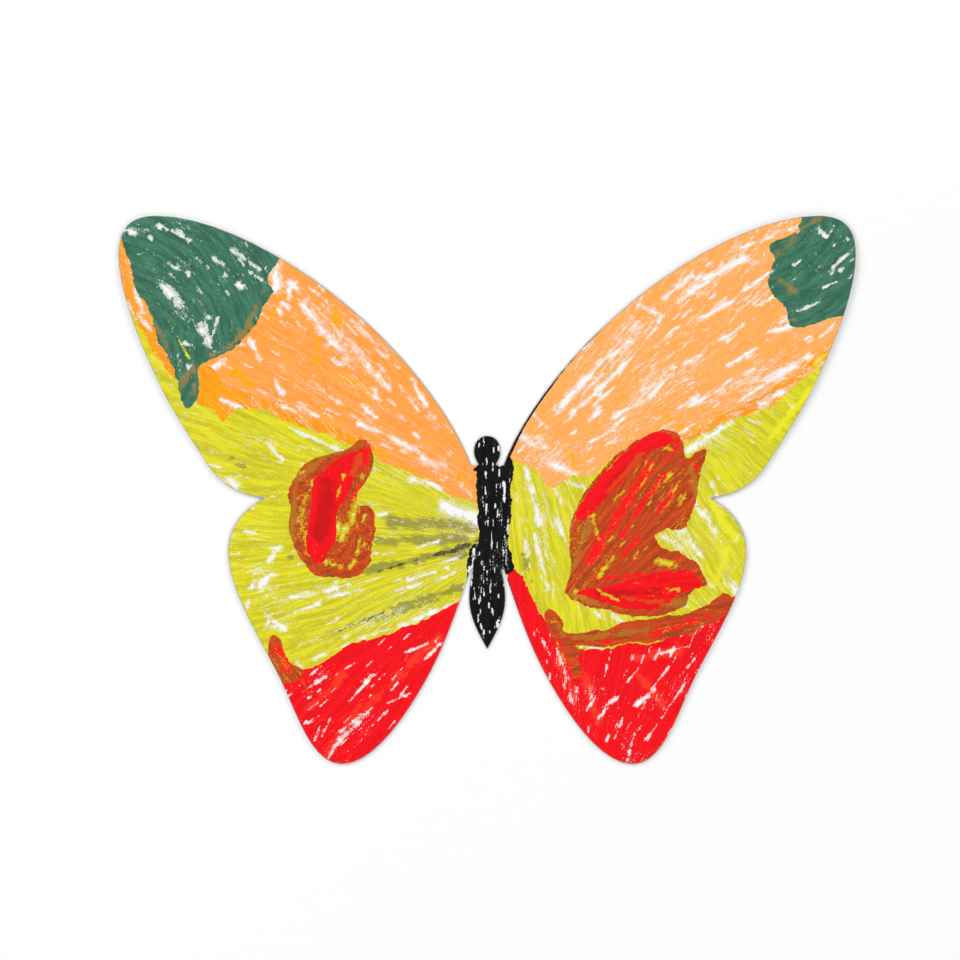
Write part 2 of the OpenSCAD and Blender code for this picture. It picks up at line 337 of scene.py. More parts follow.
def lay_grid(x_line, y_line, side, card_node, seed):
    """One grid and the fields that everything drawn on it shares."""
    x, y = np.meshgrid(x_line, y_line)
    out = np.abs(x) if side else x
    cut = area_depth(x, y, side, card_node)
    open_edges = without_crease(outline(card_node))
    rim = cut if side else np.sign(cut) * np.abs(depth_inside(x, y, open_edges, 1))
    calm = np.clip(rim / 3, 0, 1)
    leaf = SimpleNamespace(x=x, y=y, side=side, out=out, rim=rim, cut=cut)
    leaf.u = out - CREASE_OUT if side else x
    leaf.v = y
    leaf.stray_x = calm * (WANDER * patches(x, y, 5, seed, 4) + SHAKE * noise(x / 0.5, y / 0.5, seed + 7))
    leaf.stray_y = calm * (
        WANDER * patches(x, y, 5, seed + 20, 4) + SHAKE * noise(x / 0.5, y / 0.5, seed + 9))
    leaf.lift = card_lift(out, y) if side else np.zeros_like(x)
    return leaf


def wing_grid(side, step, card_node, seed):
    fine = np.arange(CREASE_OUT - FINE_INSIDE, CREASE_OUT + FINE_OUTSIDE, FINE_STEP)
    out_line = np.concatenate([fine, np.arange(fine[-1] + step, WING_REACH + MARGIN, step)])
    x_line = out_line if side == RIGHT else -out_line[::-1]
    y_line = np.arange(WING_REAR - MARGIN, WING_FRONT + MARGIN, step)
    return lay_grid(x_line, y_line, side, card_node, seed)


def body_grid(step, seed):
    low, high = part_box("body_card")
    x_line = np.arange(low.x / MM - 0.5, high.x / MM + 0.5, step)
    y_line = np.arange(low.y / MM - 0.5, high.y / MM + 0.5, step)
    return lay_grid(x_line, y_line, 0, "body_card", seed)


leaf_left = wing_grid(LEFT, WAX_STEP, "left_wing_card", 100)
leaf_right = wing_grid(RIGHT, WAX_STEP, "right_wing_card", 200)
leaf_body = body_grid(0.2, 300)
print("each wing has", leaf_left.x.size, "grid points")
print("the card lifts up to", round(float(leaf_left.lift.max()), 2), "mm")

# %% [markdown]
# ## Small tools for node materials
#
# A finish is a chain of nodes. These helpers make one node each and join its inputs, so
# that a finish below reads like a recipe: noise, a threshold, a mix of two colours.

# %% Helpers for nodes
class Finish:
    """A material under construction, with one short call for each kind of node."""

    def __init__(self, name):
        self.material = bpy.data.materials.new(name)
        self.material.use_nodes = True
        self.nodes = self.material.node_tree.nodes
        self.links = self.material.node_tree.links
        self.shader = self.nodes["Principled BSDF"]

    def put(self, socket, value):
        if isinstance(value, bpy.types.NodeSocket):
            self.links.new(value, socket)
        else:
            socket.default_value = value

    def sum(self, kind, *values):
        node = self.nodes.new("ShaderNodeMath")
        node.operation = kind
        for socket, value in zip(node.inputs, values):
            self.put(socket, value)
        return node.outputs[0]

    def field(self, name, vector=False):
        node = self.nodes.new("ShaderNodeAttribute")
        node.attribute_name = name
        return node.outputs["Vector" if vector else "Fac"]

    def stretch(self, place, scale):
        node = self.nodes.new("ShaderNodeVectorMath")
        node.operation = "MULTIPLY"
        self.put(node.inputs[0], place)
        node.inputs[1].default_value = scale
        return node.outputs[0]

    def noise(self, place, scale, detail=2.0, rough=0.5):
        node = self.nodes.new("ShaderNodeTexNoise")
        self.put(node.inputs["Vector"], self.stretch(place, scale))
        node.inputs["Scale"].default_value = 1.0
        node.inputs["Detail"].default_value = detail
        node.inputs["Roughness"].default_value = rough
        return node.outputs["Fac"]

    def rise(self, value, low, high, start=0.0, end=1.0):
        node = self.nodes.new("ShaderNodeMapRange")
        node.interpolation_type = "SMOOTHSTEP"
        self.put(node.inputs["Value"], value)
        for name, number in (("From Min", low), ("From Max", high), ("To Min", start), ("To Max", end)):
            node.inputs[name].default_value = number
        return node.outputs["Result"]

    def mix(self, amount, first, second):
        node = self.nodes.new("ShaderNodeMix")
        node.data_type = "RGBA"
        self.put(node.inputs[0], amount)
        for socket, colour in ((node.inputs[6], first), (node.inputs[7], second)):
            self.put(socket, colour if isinstance(colour, bpy.types.NodeSocket) else (*colour, 1.0))
        return node.outputs[2]

    def bump(self, height, depth, strength=1.0):
        node = self.nodes.new("ShaderNodeBump")
        node.inputs["Strength"].default_value = strength
        node.inputs["Distance"].default_value = depth
        self.put(node.inputs["Height"], height)
        self.put(self.shader.inputs["Normal"], node.outputs["Normal"])

    def place_mm(self):
        node = self.nodes.new("ShaderNodeTexCoord")
        return self.stretch(node.outputs["Object"], (1000.0, 1000.0, 1000.0))


print("finishes are built from", [n for n in dir(Finish) if not n.startswith("_")])

# %% [markdown]
# ## Drawing card
#
# White drawing card is matt and has a fine tooth, which is what the wax catches on. Its
# colour is nearly even: a slightly warm white with a faint cloudiness, and rare darker
# fibres. The tooth is about a third of a millimetre across and too shallow to model, so it
# is a bump, with the same size of grain that the wax finishes use for their specks.

# %% The card's finish
CARD_WHITE = (0.9, 0.9, 0.885)
CARD_SHADE = (0.86, 0.86, 0.845)
FIBRE = (0.66, 0.63, 0.58)
TOOTH = (3.0, 3.0, 3.0)
TOOTH_DEPTH = 0.00003
PENCIL = (0.2, 0.2, 0.2)
PENCIL_STRENGTH = 0.6


def card_finish():
    made = Finish("drawing_card")
    place = made.place_mm()
    cloud = made.noise(place, (0.12, 0.12, 0.12), 3.0, 0.6)
    tooth = made.noise(place, TOOTH, 3.0, 0.6)
    fibre = made.noise(place, (0.5, 3.5, 1.0), 2.0, 0.6)
    white = made.mix(made.rise(cloud, 0.35, 0.7), CARD_WHITE, CARD_SHADE)
    speck = made.rise(fibre, 0.7, 0.78, 0.0, 0.35)
    white = made.mix(speck, white, FIBRE)
    pencil = made.rise(made.field("rim"), 0.1, 0.3, PENCIL_STRENGTH, 0.0)
    white = made.mix(pencil, white, PENCIL)
    made.put(made.shader.inputs["Base Color"], white)
    made.put(made.shader.inputs["Roughness"], made.rise(tooth, 0.3, 0.7, 0.8, 0.95))
    made.shader.inputs["Specular IOR Level"].default_value = 0.25
    made.bump(made.sum("ADD", tooth, fibre), TOOTH_DEPTH, 0.5)
    return made.material


drawing_card = card_finish()
print("made", drawing_card.name)

# %% [markdown]
# ## The card
#
# The butterfly is one piece of card that folds beside the body. Each wing is a sheet
# that starts at the body's edge, where the real crease bends, but the sheet is only baked in
# place and does not bend. The body is a narrow sheet between the two.

# %% Cut the card
def fold(piece):
    """Bakes the piece's placement into its mesh; the piece is not bent at the crease."""
    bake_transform(piece)


def cut_wing_card(side, name, card_node, crease_node):
    leaf = wing_grid(side, CARD_STEP, card_node, 100)
    value = np.minimum(leaf.rim, leaf.out - BODY_SIDE)
    piece = build_sheet("card_" + name, leaf, value, leaf.lift, leaf.lift + CARD_TOP, {"rim": leaf.rim})
    piece.data.materials.append(drawing_card)
    fold(piece)
    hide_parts(card_node, crease_node)
    return piece


def cut_body_card():
    piece = build_sheet("card_body", leaf_body, leaf_body.cut, leaf_body.lift, leaf_body.lift + CARD_TOP,
                        {"rim": leaf_body.rim})
    piece.data.materials.append(drawing_card)
    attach(piece, "body")
    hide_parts("body_card")
    return piece


for piece in (cut_wing_card(LEFT, "left_wing", "left_wing_card", "left_crease"),
              cut_wing_card(RIGHT, "right_wing", "right_wing_card", "right_crease"),
              cut_body_card()):
    print(piece.name, "has", len(piece.data.polygons), "faces")

# %% [markdown]
# ## Crayon wax
#
# Wax lies on the tops of the tooth and misses its hollows, so a stroke is a band of
# colour full of pale specks, drawn out along the stroke. Three things decide how much
# wax there is at a point: how hard the hand pressed, the streaks of the stroke, and the
# tooth. The mesh carries the first as a number on each point, and the nodes add the
# other two and compare the sum with a threshold. Below it the card shows, a little
# stained. A second and a third colour are strokes of another crayon rubbed over the
# first, and they break up in the same way.

# %% The finish of rubbed wax
def wax_finish(name, light, dark, second, third, under=CARD_WHITE, stain=0.25, skips=1.0, gloss=0.5):
    """Crayon wax in two tones of one colour, with a second and a third crayon over it."""
    made = Finish(name)
    place = made.place_mm()
    along = made.field("strokes", vector=True)
    streak = made.noise(along, (0.35, 1.6, 1.0), 2.0, 0.6)
    band = made.noise(along, (0.07, 0.75, 1.0), 3.0, 0.6)
    tooth = made.noise(place, TOOTH, 3.0, 0.7)
    rub = made.sum("ADD", made.sum("MULTIPLY", streak, 0.45), made.sum("MULTIPLY", tooth, 0.55))
    shift = made.sum("MULTIPLY", made.sum("SUBTRACT", rub, 0.5), 3.6 * skips)
    amount = made.sum("ADD", made.field("press"), shift)
    cover = made.rise(amount, 0.36, 0.56)
    tone = made.sum("ADD", made.sum("MULTIPLY", band, 0.6), made.sum("MULTIPLY", rub, 0.4))
    colour = made.mix(made.rise(tone, 0.4, 0.6), light, dark)
    for field_name, shade in (("second", second), ("third", third)):
        over = made.sum("ADD", made.field(field_name), made.sum("MULTIPLY", shift, 0.6))
        colour = made.mix(made.rise(over, 0.2, 0.85), colour, shade)
    stained = made.mix(stain, under, colour)
    colour = made.mix(cover, stained, colour)
    pencil = made.rise(made.field("rim"), 0.1, 0.28, PENCIL_STRENGTH, 0.0)
    made.put(made.shader.inputs["Base Color"], made.mix(pencil, colour, PENCIL))
    made.put(made.shader.inputs["Roughness"], made.rise(amount, 0.3, 0.9, 0.85, gloss))
    made.shader.inputs["Specular IOR Level"].default_value = 0.08
    made.bump(made.sum("ADD", cover, made.sum("MULTIPLY", rub, 0.6)), TOOTH_DEPTH, 0.6)
    return made.material


# %% Mix the crayons
GREEN, GREEN_DEEP, MOSS = (0.064, 0.21, 0.13), (0.036, 0.13, 0.08), (0.29, 0.21, 0.06)
ORANGE, ORANGE_DEEP, PEACH = (0.96, 0.39, 0.085), (0.94, 0.32, 0.05), (0.95, 0.43, 0.12)
AMBER, AMBER_DEEP = (0.97, 0.38, 0.006), (0.9, 0.28, 0.01)
YELLOW, YELLOW_DEEP, LEMON = (0.78, 0.73, 0.022), (0.56, 0.52, 0.022), (0.83, 0.79, 0.022)
OLIVE, SMOKE = (0.33, 0.31, 0.045), (0.07, 0.066, 0.03)
RED, RED_DEEP, SCARLET = (0.96, 0.007, 0.013), (0.8, 0.005, 0.01), (0.94, 0.04, 0.02)
RUST, RUST_DEEP, CRIMSON = (0.66, 0.07, 0.012), (0.36, 0.05, 0.012), (0.6, 0.006, 0.008)
BROWN = (0.44, 0.16, 0.018)
BLACK, BLACK_SOFT = (0.004, 0.004, 0.0038), (0.009, 0.009, 0.0085)

green_wax = wax_finish("green_wax", GREEN, GREEN_DEEP, MOSS, YELLOW, stain=0.3, skips=0.85)
orange_wax = wax_finish("orange_wax", ORANGE, ORANGE_DEEP, AMBER, YELLOW, stain=0.5, skips=0.9)
peach_wax = wax_finish("peach_wax", PEACH, ORANGE, AMBER, RUST, stain=0.45, skips=1.1)
amber_wax = wax_finish("amber_wax", AMBER, AMBER_DEEP, ORANGE, YELLOW, stain=0.45, skips=1.3)
yellow_wax = wax_finish("yellow_wax", YELLOW, YELLOW_DEEP, OLIVE, SMOKE, stain=0.5)
lemon_wax = wax_finish("lemon_wax", YELLOW, YELLOW_DEEP, LEMON, OLIVE, stain=0.5)
red_wax = wax_finish("red_wax", RED, RED_DEEP, SCARLET, RUST, stain=0.35, skips=0.9)
spot_red_wax = wax_finish("spot_red_wax", RED, RED_DEEP, CRIMSON, RUST, under=YELLOW, stain=0.45, skips=0.7)
rust_wax = wax_finish("rust_wax", RUST, RUST_DEEP, BROWN, RED, under=YELLOW, stain=0.5, skips=0.85)
black_wax = wax_finish("black_wax", BLACK, BLACK_SOFT, SMOKE, OLIVE, stain=0.12, skips=0.75, gloss=0.42)
print("mixed", len([m for m in bpy.data.materials if m.name.endswith("_wax")]), "crayons")

# %% [markdown]
# ## Strokes
#
# A child colours an area with its own swing of the hand: the strokes run out from a point
# like rays, or round it like arcs. Knowing that point, each place on the paper has a
# distance along the strokes and one across them, which the streaks follow. Single
# strokes, where the crayon skipped or where another crayon crossed, are short lines: where
# they start and end, and how wide they are. They are given out from the crease and along
# the body, in millimetres. Where a whole list came out too wide or too long, resized()
# changes it at once. Smaller gaps are strewn between them by a seeded draw.

# %% Follow the swing of the hand
UP_AND_DOWN = ((0, -200), "rays")
WING_MIDDLE = 35
ARC_RADIUS = 60
NARROW = 0.45
FINE_WIDTH = 0.05


def swing(leaf, centre, kind):
    """Distance along the strokes and across them, in mm."""
    du, dv = leaf.u - centre[0], leaf.v - centre[1]
    far = np.hypot(du, dv)
    mid_u, mid_v = WING_MIDDLE - centre[0], 0 - centre[1]
    turn = np.arctan2(mid_u * dv - mid_v * du, mid_u * du + mid_v * dv)
    round_mm = turn * ARC_RADIUS
    wander = 0.9 * noise(leaf.u / 11, leaf.v / 11, 31) + 0.3 * noise(leaf.u / 3, leaf.v / 3, 33)
    if kind == "rays":
        return far, turn * np.clip(far, 20, None).mean() + wander
    return round_mm, far + wander


def drawn(leaf, lines, seed):
    """How much of each point the given strokes cover, from 0 to 1."""
    cover = np.zeros(leaf.u.shape)
    shake = 0.4 * noise(leaf.u / 0.7, leaf.v / 0.7, seed) + 0.5 * noise(leaf.u / 2, leaf.v / 2, seed + 2)
    for u0, v0, u1, v1, width in lines:
        du, dv = u1 - u0, v1 - v0
        t = np.clip(((leaf.u - u0) * du + (leaf.v - v0) * dv) / (du * du + dv * dv + 1e-6), 0, 1)
        gap = np.hypot(leaf.u - u0 - t * du, leaf.v - v0 - t * dv) + shake * min(1.2, width)
        cover = np.maximum(cover, 1 - ease(0, 0.95 * width, gap))
    return cover


def resized(lines, length=1, width=1):
    """The same strokes, longer or shorter about their middles and wider or narrower, in round sizes."""
    made = []
    for u0, v0, u1, v1, wide in lines:
        mid_u, mid_v = (u0 + u1) / 2, (v0 + v1) / 2
        ends = [round(round(middle + (end - middle) * length, 2), 1)
                for middle, end in ((mid_u, u0), (mid_v, v0), (mid_u, u1), (mid_v, v1))]
        wide = round(wide * width, 2)
        fine = round(round(wide / FINE_WIDTH) * FINE_WIDTH, 2)
        made.append((*ends, round(wide, 1) if wide >= NARROW else fine))
    return made


def flecks(count, box, length, width, seed, hand):
    """Short gaps strewn over a box, each one lying along the strokes."""
    centre, kind = hand
    chance = np.random.default_rng(seed)
    lines = []
    for _ in range(count):
        u, v = chance.uniform(box[0], box[2]), chance.uniform(box[1], box[3])
        du, dv = u - centre[0], v - centre[1]
        if kind == "arcs":
            du, dv = -dv, du
        half = 0.5 * length * chance.uniform(0.4, 1.5) / np.hypot(du, dv)
        wide = width * chance.uniform(0.6, 1.4)
        lines.append((u - half * du, v - half * dv, u + half * du, v + half * dv, wide))
    return lines


# %% [markdown]
# ## Laying the wax
#
# One function lays every coloured area. It takes the outline from the frame, makes its
# border ragged, takes away the places that the crayon skipped, and turns the pressure
# into a thickness. Each colour reaches a little under the next one, so no bare line
# shows where they meet, and each lies a hair higher than the last, so they never fight
# for the same surface. A film that crosses a crease is baked in place like the card, not folded.

# %% Lay one coloured area
RIM_BARE = 0.12
FILM_HEIGHT = 0.045
PRESS_HEIGHT = 0.05
SECOND_LAYER = 0.055
SUNK = 0.02
THIN = 0.17
SKIPPED_BELOW = 0.11
RANK_STEP = 0.0015
films = []


def lay_wax(node, leaf, finish, hand, bare=(), strewn=None, thin=(), second=(), third=(), layer=1,
            press=0.8, uneven=0.2, tint=0.0, overlap=0.3, more=(), inner=None):
    """A film of wax on one area, with its strokes, its thickness and its holes."""
    rank = len(films)
    seed = 400 + 17 * rank
    x, y = leaf.x + leaf.stray_x, leaf.y + leaf.stray_y
    depth = area_depth(x, y, leaf.side, node) + overlap
    depth = np.minimum(np.minimum(depth, leaf.rim - RIM_BARE), leaf.cut)
    if leaf.side:
        inner_edge = FOLD_END if inner is None else inner
        depth = np.minimum(depth, leaf.out - inner_edge)
    along, across = swing(leaf, *hand)
    rub = 0.14 * noise(along / 9, across / 1.1, seed + 1) + 0.1 * noise(along / 4, across / 0.7, seed + 3)
    force = press + uneven * patches(leaf.u, leaf.v, 9, seed + 4) + rub
    gaps = [*bare, *flecks(*strewn, hand)] if strewn else bare
    skipped = drawn(leaf, gaps, seed + 5)
    force = force - THIN * drawn(leaf, thin, seed + 12)
    force = force * (1 - 0.95 * skipped)
    value = np.minimum(depth, (force - SKIPPED_BELOW) * 1.6)
    thick = FILM_HEIGHT + PRESS_HEIGHT * np.clip(force, 0, 1.1) * ease(-0.1, 0.7, value)
    thick = thick + 0.006 * noise(leaf.x / 0.9, leaf.y / 0.9, seed + 6) + RANK_STEP * rank
    thick = thick + (SECOND_LAYER if layer == 2 else 0)
    base = leaf.lift + CARD_TOP
    cloudy = tint + 0.3 * patches(leaf.u, leaf.v, 7, seed + 8)
    fields = {"press": force, "strokes": (along, across, 0 * along + seed), "rim": leaf.rim,
              "second": cloudy + 0.9 * drawn(leaf, second, seed + 9),
              "third": -0.3 + 1.1 * drawn(leaf, third, seed + 10)}
    piece = build_sheet("wax_" + node, leaf, value, base - SUNK, base + thick, fields)
    piece.data.materials.append(finish)
    carrier = {0: "body", LEFT: "left_wing", RIGHT: "right_wing"}[leaf.side]
    if inner is None:
        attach(piece, carrier)
    else:
        fold(piece)
    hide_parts(node, *more)
    films.append(piece)
    print(piece.name, len(piece.data.polygons), "faces")
    return piece


# %% [markdown]
# ## The left wing
#
# The yellow goes down first, and it fills the middle of both wings. The strokes fan out
# from the root of the wing, and they turn olive near it, where the black of the body has
# been smeared along. It runs onto the body as far as the black.

# %% Left wing: yellow
ONTO_BODY = BODY_SIDE - 1.6

lay_wax("left_mid_yellow", leaf_left, yellow_wax, ((-10, -12), "rays"),
        more=["body_yellow"], inner=ONTO_BODY, press=0.88, tint=0.02, overlap=0.5,
        bare=[(7, -4, -1, -7, 3.4), (5, -5.2, -2, -7.8, 2.8)] + resized([
            (7, -8.2, 4, -9.4, 0.9), (13.8, -14.3, 8.5, -12.9, 0.8), (22, -11.6, 18.5, -10.6, 0.9),
            (23.4, -6.2, 21.5, -5.8, 0.8), (51.5, 12, 47.5, 7.6, 1), (51, -18, 48, -14, 1.5),
            (53, -24, 50, -20.5, 1.3), (46.5, -27.4, 41, -25.4, 1), (42, -26.6, 31, -23.6, 0.9),
            (38, -27.4, 27, -24.6, 0.8), (44, -30.4, 37, -28, 0.8), (51.5, -31, 46.5, -35, 1.1),
            (52, -35, 50, -31, 0.9), (61, 2.5, 57, -0.5, 1.6), (3.9, -28.2, 16, -33, 1.4),
            (14, -32.8, 28, -37, 1.1), (27, -37, 39.5, -42, 0.8), (43.8, -43, 42, -45, 1.2),
            (15, 2.8, 6, 0.2, 1.5), (9, 2, 4, 0, 1.1), (37.5, 12.2, 32.5, 9.5, 1.3),
            (39, 2, 41.5, -3, 1.2), (56, -29, 54.5, -23, 0.9), (44, 14.5, 39, 12.8, 0.9),
            (10, -19, 3, -16.8, 0.8), (16, -22.4, 6, -19.4, 0.8), (9, -22.5, 4, -20.5, 0.7),
            (20, -25.5, 13, -23.5, 0.7)], width=0.9),
        strewn=(90, (0, -42, 66, 20), 2.4, 0.42, 1),
        thin=[(6, -4, -1, -8, 6), (14, -21.5, 2, -18, 5), (46, -26, 28, -24, 4), (52, -20, 46, -32, 4),
              (60, -6, 59, -18, 2.5), (20, 5, 6, 0, 4), (56, 14, 40, 10, 3), (40, -38, 8, -28, 3)],
        second=[(0, -9, 20, -8, 3), (2, -12, 24, -13, 2.6), (3, -15, 26, -20, 2),
                (21, -30, 34.5, -35.7, 0.9), (30, -13, 46, -17, 1.2), (2, -24, 24, -31, 1.2),
                (8, -27, 26, -33, 1), (60, 8, 54, 4, 1.2)],
        third=[(-2, -12.5, 2.7, -14.5, 2.2), (2, -14.4, 14, -17.5, 0.9), (12, -17, 23.8, -20.4, 0.5),
               (-1, -15.5, 5, -17.5, 1), (22, -30.5, 34, -35.5, 0.4)])

# %% [markdown]
# The orange of the left fore wing is laid from the root outwards. Its strokes keep to the
# swing of the front edge and the card shows through in long flecks. An amber crayon has
# gone round its border with the yellow.

# %% Left wing: orange and amber
lay_wax("left_fore_orange", leaf_left, orange_wax, ((-8, -2), "rays"),
        more=["body_orange"], inner=ONTO_BODY, press=0.85, tint=-0.1,
        bare=[(45.8, 52, 44, 50.6, 1), (45.7, 49.4, 45.7, 47.8, 1.4), (47.5, 47, 45.8, 45.3, 0.9),
              (48.3, 45, 47.4, 43.3, 0.8), (40.8, 51, 34.6, 45.7, 0.7), (42, 46, 35.2, 37.3, 1.9),
              (32.8, 38.9, 29.6, 36.5, 1.1), (34, 36.5, 30.8, 32.5, 1.2), (35.2, 32.7, 32.4, 30.9, 0.9),
              (30, 36.5, 26, 31.5, 1.5), (27, 33, 22.5, 27.5, 1.4), (24.5, 30, 20.5, 25, 1.2),
              (30, 42.5, 23.6, 36, 0.8), (24, 35.3, 18, 30.5, 0.8), (14.5, 26, 9.3, 17.8, 0.9),
              (26.8, 26.3, 24, 24.9, 0.8), (24.5, 23.7, 22.9, 22.3, 0.7), (28, 21.7, 24, 18.2, 0.9),
              (28.4, 16.6, 19.7, 13, 0.9), (20, 13, 12, 9, 1), (12.5, 8.2, 9.3, 6.2, 1.7),
              (3.8, 2.2, 0, -1.4, 1), (49, 21.5, 44, 19.5, 1), (43, 20.5, 38.5, 18.5, 0.8),
              (49.5, 27.3, 47.5, 24.1, 1), (55.5, 37.7, 52.8, 32.5, 0.9), (49, 57, 49, 50.3, 3),
              (61.4, 32.6, 66.5, 29.6, 1.1), (62.4, 23.2, 57, 20.6, 1.7), (54.9, 20.7, 51.8, 19, 0.9),
              (18, 26, 13.5, 20, 0.7), (36, 24, 32, 21, 0.7)],
        strewn=(130, (0, 0, 66, 60), 2.4, 0.42, 2),
        thin=[(46, 52, 34, 38, 3), (32, 38, 20, 25, 5), (28, 17, 6, 5, 4), (16, 27, 8, 15, 2.5),
              (60, 26, 44, 20, 4), (30, 28, 22, 21, 3), (48, 40, 38, 24, 2)],
        second=resized([
            (50.4, 57.6, 47, 48, 1.4), (47, 48, 50, 43.5, 1.3), (34, 44.5, 33.6, 41.8, 2),
            (33.4, 45, 35.2, 35.3, 1), (32, 29, 24.4, 23.3, 1.2), (38.5, 38, 38.5, 29, 1.2),
            (4, 4, -2, -2, 1.8), (26, 10.6, 14, 4.6, 1.2), (60, 30, 55, 26, 1.5)], width=1.6))

lay_wax("left_fore_amber", leaf_left, amber_wax, ((120, -40), "arcs"),
        press=0.82, tint=-0.1, uneven=0.28,
        bare=[(55.5, 17, 51, 15.8, 0.9), (44.4, 15, 39, 12.9, 0.9), (62.4, 22.6, 57.5, 20.3, 1.4),
              (84, 50, 82, 44, 1), (86, 47, 84, 42.5, 0.8), (83.5, 44, 80, 39.5, 0.8),
              (69.5, 17, 66, 14.5, 1), (55, 20.2, 52, 18.8, 0.8), (81.5, 36, 78, 30, 0.9),
              (76, 27, 72.5, 21, 1.1)],
        second=[(86, 61, 85, 51, 3), (84, 50, 81, 43, 3)],
        third=[(84.5, 42, 79, 33, 1.2), (78.5, 32, 72, 21, 1.6), (71, 25, 66, 16, 1.5)])

# %% [markdown]
# The green tip was pressed hard, in arcs round the corner of the wing, with a few bold
# gaps. Brown from the next crayon is rubbed over its lower borders.

# %% Left wing: green
lay_wax("left_tip_green", leaf_left, green_wax, ((94, 31), "arcs"),
        press=0.9, tint=-0.22, uneven=0.16,
        bare=resized([
            (87, 65, 84.5, 64, 1.2), (78, 66, 76, 65, 0.8), (74.5, 64.7, 70.6, 62.3, 1),
            (80.4, 63.2, 80, 62.8, 0.9), (65, 58, 62, 56.3, 0.9), (66.2, 55.9, 65.8, 55.5, 1),
            (61.6, 53.8, 61.2, 53.4, 1), (58.2, 51, 57.6, 50.4, 1.8), (76, 56.5, 70.8, 54, 1.1),
            (77.2, 51, 75.5, 49.5, 3.2), (75.5, 49.5, 73, 47.3, 2.8), (67.2, 40, 65.6, 37.4, 2.8),
            (63.4, 43, 64.6, 38.5, 0.8), (66, 43.6, 65.6, 43.2, 0.9), (72, 37, 70, 36, 0.8),
            (71.3, 31.2, 71, 30.8, 1.1), (57, 58, 53, 55, 0.7), (55.5, 54.5, 52.5, 52.5, 0.6),
            (60, 60, 57, 58, 0.6)], width=0.85),
        strewn=(34, (50, 24, 92, 68), 1.6, 0.36, 3),
        thin=[(58, 60, 52, 53, 5), (68, 41, 64, 35, 3), (87, 64, 78, 66, 2), (74, 46, 70, 41, 3)],
        second=[(52, 50, 55, 42.5, 1.6), (55, 41.5, 60, 36.5, 1.6), (60, 36, 65, 33.5, 1.2),
                (80.5, 44, 75.5, 34, 1.8), (70, 30, 73.5, 25, 2.6), (69.5, 31, 69.5, 24, 1.2)],
        third=[(75.8, 42.5, 70, 31.8, 0.5)])

# %% [markdown]
# The hind wing is red, rubbed hard with the side of the crayon, with an orange cast in
# places. A bare line is left where it meets the yellow.

# %% Left wing: red
lay_wax("left_hind_red", leaf_left, red_wax, ((-30, 10), "rays"),
        press=1.02, tint=-0.12, uneven=0.16, overlap=0.0,
        bare=resized([
            (42.5, -50.5, 36.5, -46.5, 0.9), (41, -52, 38, -50, 0.7), (29, -51, 24.4, -46, 0.8),
            (25, -49, 22, -46, 0.6), (16.7, -40.6, 11.2, -38.4, 0.6), (11.5, -42, 7.5, -38, 0.7),
            (37.5, -61.5, 35.4, -57, 0.7), (34.3, -64, 28, -57.6, 1.4), (33, -60.5, 27.5, -56, 0.8),
            (27.7, -57, 25, -54.3, 0.8), (24.8, -58.7, 21, -55, 0.9), (21, -53.2, 15.3, -50.7, 0.6),
            (35.8, -67, 34, -64, 0.8), (41, -55, 34, -49.5, 0.4), (39.6, -63, 38, -59, 0.6),
            (31, -53, 28.5, -50.5, 0.6), (20, -47.5, 17, -44, 0.5), (34, -46, 29, -43, 0.5),
            (38, -54, 35, -51.5, 0.6)], width=0.68),
        strewn=(60, (2, -75, 50, -28), 1.8, 0.36, 4),
        thin=[(42, -51, 36, -47, 4), (36, -66, 22, -54, 7), (30, -52, 22, -45, 4), (16, -42, 8, -39, 3),
              (38, -62, 34, -54, 4)],
        second=[(40, -54, 32, -46, 2.4), (28, -56, 18, -46, 2.4), (16, -44, 8, -37, 2),
                (36, -66, 28, -54, 2.4)],
        third=[(44, -45, 40, -52, 0.8)])

# %% [markdown]
# The eye spot is a red core in a ring of rust brown, drawn over the yellow. The ring is
# one band of strokes round and round, with slots of yellow left inside it. At the
# corner of the hind wing there's a rust mark over the edge of the red.

# %% Left wing: the spot and the corner mark
lay_wax("left_spot_rust", leaf_left, rust_wax, ((36, -6), "arcs"),
        layer=2, press=0.8, tint=0.0, uneven=0.2, overlap=0.25,
        bare=[(42.3, -5, 42.5, -11, 1.3), (42, -10, 40.8, -16, 1.2), (38.3, -17.4, 33, -19, 1.1),
              (29, -3, 30, -8, 2), (33.5, -8.5, 34, -12, 1.3), (31, -9, 33, -12.5, 1.4),
              (39.5, 2, 42, -3, 1.2), (28, -12, 28.8, -16, 0.9), (30.5, -19.5, 29, -17.5, 0.9),
              (26.6, -6, 27, -8, 0.8)],
        strewn=(20, (24, -22, 46, 12), 1.6, 0.38, 10),
        second=[(45, -12, 44, 2, 2), (43.5, 3, 36, 9, 2), (35, 9.5, 28, 11, 1.6)],
        third=[(26, 10, 27, 4, 2.2), (28.5, 1, 30, -3, 1.2)])

lay_wax("left_spot_red", leaf_left, spot_red_wax, ((75, 0), "arcs"),
        layer=2, press=0.92, tint=0.12, uneven=0.14, overlap=0.35,
        second=[(36, 1, 37.5, -11, 4)],
        third=[(28, 9, 29.5, 4, 1.6)],
        bare=[(32, 3.5, 34, -3, 0.6), (38.5, -15, 37.5, -16.5, 0.8)])

lay_wax("left_hind_rust", leaf_left, rust_wax, ((20, -80), "rays"),
        layer=2, press=0.75,
        third=[(48.5, -40, 46, -45, 2)])

# %% [markdown]
# The black of the body has strayed over the left crease behind the thorax. This film
# crosses the fold too.

# %% Left wing: black at the root
lay_wax("left_root_black", leaf_left, black_wax, UP_AND_DOWN,
        inner=ONTO_BODY, press=0.78, tint=-0.2, overlap=0.2,
        bare=[(-0.5, -15, -0.4, -19, 0.7), (0.8, -19.5, 0.6, -21, 0.5)])

